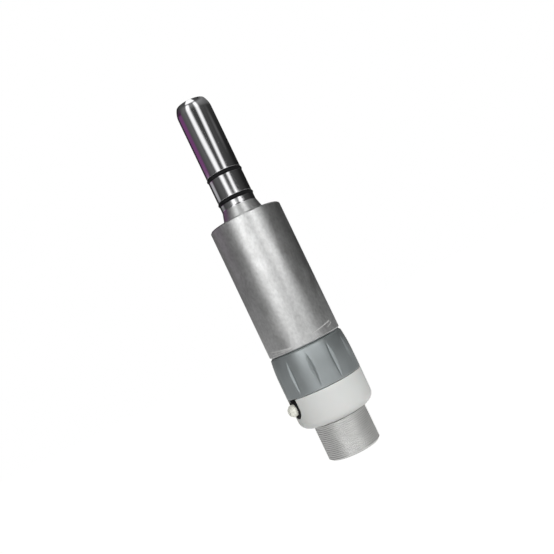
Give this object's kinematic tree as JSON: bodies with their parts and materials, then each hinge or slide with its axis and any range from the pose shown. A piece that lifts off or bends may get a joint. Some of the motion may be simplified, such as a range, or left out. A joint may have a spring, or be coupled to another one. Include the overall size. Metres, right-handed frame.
{
  "type": "dental air motor",
  "caption": "Slim air motor for dental handpieces: long polished spigot with seals, satin case, fluted direction ring, white rear ring with side nipple and a threaded hose end.",
  "frame": {"origin": "centre of the threaded hose end's rear plane, on the motor's axis", "axes": "+Z along the motor's axis towards the handpiece spigot; the side nipple points along -X"},
  "size_m": [0.0226, 0.021, 0.1006],
  "materials": {
    "polished_spigot": "polished steel",
    "satin_case": "satin",
    "anodised_ring": "blue-grey anodised, semi-gloss",
    "cover_plastic": "off-white moulded",
    "connector_steel": "satin, turned",
    "rubber": "black",
    "nipple_metal": "plated",
    "tube_steel": "drawn",
    "screw_steel": "dark",
    "plate_steel": "ground",
    "rotor_steel": "ground",
    "drive_steel": "hardened",
    "bearing_steel": "polished",
    "cage_brass": "turned",
    "spring_steel": "drawn",
    "vane_resin": "phenolic resin",
    "disc_plastic": "acetal"
  },
  "bodies": {
    "case": {"nose_sleeve": "polished_spigot", "nose_o_ring_front": "rubber", "nose_o_ring_rear": "rubber", "motor_case": "satin_case", "front_end_plate": "plate_steel", "rear_end_plate": "plate_steel", "cylinder_liner": "plate_steel", "alignment_pins": "drive_steel", "front_bearing_outer_race": "bearing_steel", "rear_bearing_outer_race": "bearing_steel", "preload_washer": "spring_steel", "valve_body": "plate_steel", "case_o_ring": "rubber", "ring_o_ring_front": "rubber", "ring_o_ring_rear": "rubber", "spigot_o_ring": "rubber", "detent_ball": "bearing_steel", "detent_spring": "spring_steel", "rear_cover_ring": "cover_plastic", "cover_set_screw": "screw_steel", "hose_connector": "connector_steel", "drive_air_tube": "tube_steel", "water_tube": "tube_steel", "chip_air_tube": "tube_steel", "water_nipple": "nipple_metal", "nipple_seal": "rubber"},
    "rotor": {"rotor": "rotor_steel", "vane_1": "vane_resin", "vane_2": "vane_resin", "vane_3": "vane_resin", "vane_4": "vane_resin", "front_bearing_inner_race": "bearing_steel", "rear_bearing_inner_race": "bearing_steel", "dog_pin": "drive_steel", "dog_spring": "spring_steel", "spring_washer": "drive_steel"},
    "drive_dog": {"drive_dog": "drive_steel"},
    "front_cage": {"front_bearing_cage": "cage_brass", "front_bearing_balls": "bearing_steel"},
    "rear_cage": {"rear_bearing_cage": "cage_brass", "rear_bearing_balls": "bearing_steel"},
    "control_ring": {"control_ring": "anodised_ring", "valve_disc": "disc_plastic", "valve_pins": "drive_steel"}
  },
  "joints": [
    {"name": "rotor_spin", "type": "hinge", "parent": "case", "child": "rotor", "pos_m": [0, 0, 0.048], "axis": [0, 0, 1], "continuous": true},
    {"name": "dog_slide", "type": "slide", "parent": "rotor", "child": "drive_dog", "axis": [0, 0, -1], "range_m": [0, 0.0015], "stiffness_N_per_m": 500, "springref_m": -0.003, "deforming": ["dog_spring"]},
    {"name": "ring_turn", "type": "hinge", "parent": "case", "child": "control_ring", "pos_m": [0, 0, 0.0245], "axis": [0, 0, 1], "range_deg": [-30, 30]},
    {"name": "front_cage_spin", "type": "hinge", "parent": "case", "child": "front_cage", "pos_m": [0, 0, 0.0608], "axis": [0, 0, 1], "continuous": true},
    {"name": "rear_cage_spin", "type": "hinge", "parent": "case", "child": "rear_cage", "pos_m": [0, 0, 0.0348], "axis": [0, 0, 1], "continuous": true}
  ],
  "couplings": [
    {"joint": "front_cage_spin", "follows": "rotor_spin", "ratio": 0.3857},
    {"joint": "rear_cage_spin", "follows": "rotor_spin", "ratio": 0.3857}
  ]
}
